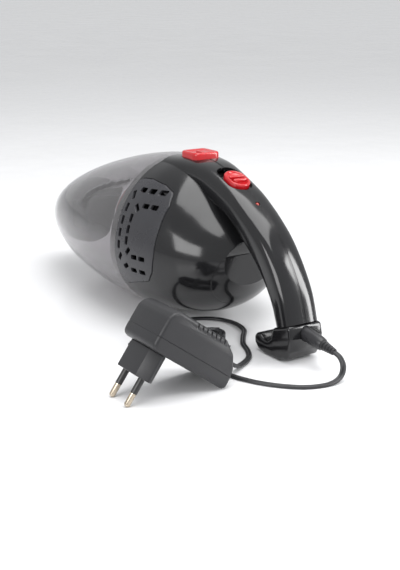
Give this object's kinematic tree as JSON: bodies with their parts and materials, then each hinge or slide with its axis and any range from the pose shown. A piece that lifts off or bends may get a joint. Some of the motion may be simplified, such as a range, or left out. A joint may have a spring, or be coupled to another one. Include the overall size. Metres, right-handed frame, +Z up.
{
  "type": "handheld vacuum",
  "caption": "Cordless handheld vacuum with a teardrop body, clear dust bowl, arched open grip and plug-in mains charger on a thin twin lead.",
  "frame": {"origin": "centre of the vacuum's bounding box in plan, on the surface it stands on, charger left out", "axes": "+Z up, -X towards the nose, +X towards the grip, -Y the left side with the charger"},
  "size_m": [0.3848, 0.1998, 0.1247],
  "materials": {
    "gloss_black": "polished piano black, slightly warm dark grey in highlights",
    "satin_grey": "satin dark grey",
    "inner_black": "fine moulded texture",
    "smoke_clear": "smoke-tinted clear plastic",
    "rubber": "soft black rubber",
    "steel": "bright steel",
    "motor_steel": "zinc-plated can",
    "cell_wrap": "heat-shrink sleeve",
    "board_green": "solder mask",
    "led_red": "clear red",
    "red_plastic": "moulded red",
    "filter_cloth": "needled filter cloth",
    "red_gloss": "polished red",
    "ivory_plastic": "natural nylon",
    "cord_black": "soft vinyl",
    "tie_black": "twist tie",
    "adapter_black": "fine-textured black case",
    "nickel": "nickel plate",
    "sleeve_black": "insulating sleeve",
    "copper_brown": "varnished winding"
  },
  "bodies": {
    "housing": {"left_housing": "gloss_black", "right_housing": "gloss_black", "vent_panel_left": "satin_grey", "vent_panel_right": "satin_grey", "rear_cover": "gloss_black", "front_frame": "inner_black", "bowl_seal": "rubber", "latch_pin": "steel", "release_spring": "steel", "fan_housing": "inner_black", "motor": "motor_steel", "motor_mount": "inner_black", "battery_cells": "cell_wrap", "battery_tray": "inner_black", "slide_switch": "inner_black", "circuit_board": "board_green", "charge_led": "led_red", "housing_screws": "steel", "handle_foot": "gloss_black", "dc_jack": "inner_black"},
    "bowl": {"dust_bowl": "smoke_clear", "inlet_duct": "inner_black"},
    "flap": {"inlet_flap": "rubber"},
    "filter": {"filter_frame": "red_plastic", "filter_cartridge": "filter_cloth"},
    "button": {"release_button": "red_gloss"},
    "latch": {"release_latch": "inner_black"},
    "slider": {"switch_slider": "red_gloss"},
    "fan": {"impeller": "ivory_plastic", "motor_shaft": "steel"},
    "charger": {"dc_plug": "cord_black", "dc_barrel": "nickel", "plug_relief": "cord_black", "charger_cord": "cord_black", "charger_cord_end": "cord_black", "cord_hank": "cord_black", "cord_tie": "tie_black", "adapter_base": "adapter_black", "adapter_cover": "adapter_black", "pin_column": "adapter_black", "mains_pins": "nickel", "pin_sleeves": "sleeve_black", "transformer": "copper_brown", "adapter_relief": "cord_black"}
  },
  "joints": [
    {"name": "bowl_slide", "type": "slide", "parent": "housing", "child": "bowl", "axis": [-1, 0, 0], "range_m": [0, 0.075]},
    {"name": "flap_swing", "type": "hinge", "parent": "bowl", "child": "flap", "pos_m": [-0.1099, 0, 0.0618], "axis": [0, -1, 0], "range_deg": [0, 45]},
    {"name": "filter_pull", "type": "slide", "parent": "housing", "child": "filter", "axis": [-1, 0, 0], "range_m": [0, 0.025]},
    {"name": "button_press", "type": "slide", "parent": "housing", "child": "button", "axis": [0, 0, -1], "range_m": [0, 0.0025], "stiffness_N_per_m": 600, "springref_m": -0.0008, "deforming": ["release_spring"]},
    {"name": "latch_swing", "type": "hinge", "parent": "housing", "child": "latch", "pos_m": [0.064, 0, 0.1085], "axis": [0, -1, 0], "range_deg": [0, 7.3]},
    {"name": "slider_move", "type": "slide", "parent": "housing", "child": "slider", "axis": [-0.9367, 0, 0.3502], "range_m": [0, 0.007]},
    {"name": "fan_spin", "type": "hinge", "parent": "housing", "child": "fan", "pos_m": [0.03, 0, 0.06], "axis": [1, 0, 0], "continuous": true},
    {"name": "plug_pull", "type": "slide", "parent": "housing", "child": "charger", "axis": [0.9903, 0, -0.1392], "range_m": [0, 0.0095]}
  ],
  "couplings": [
    {"joint": "latch_swing", "follows": "button_press", "rad_per_m": 50}
  ]
}
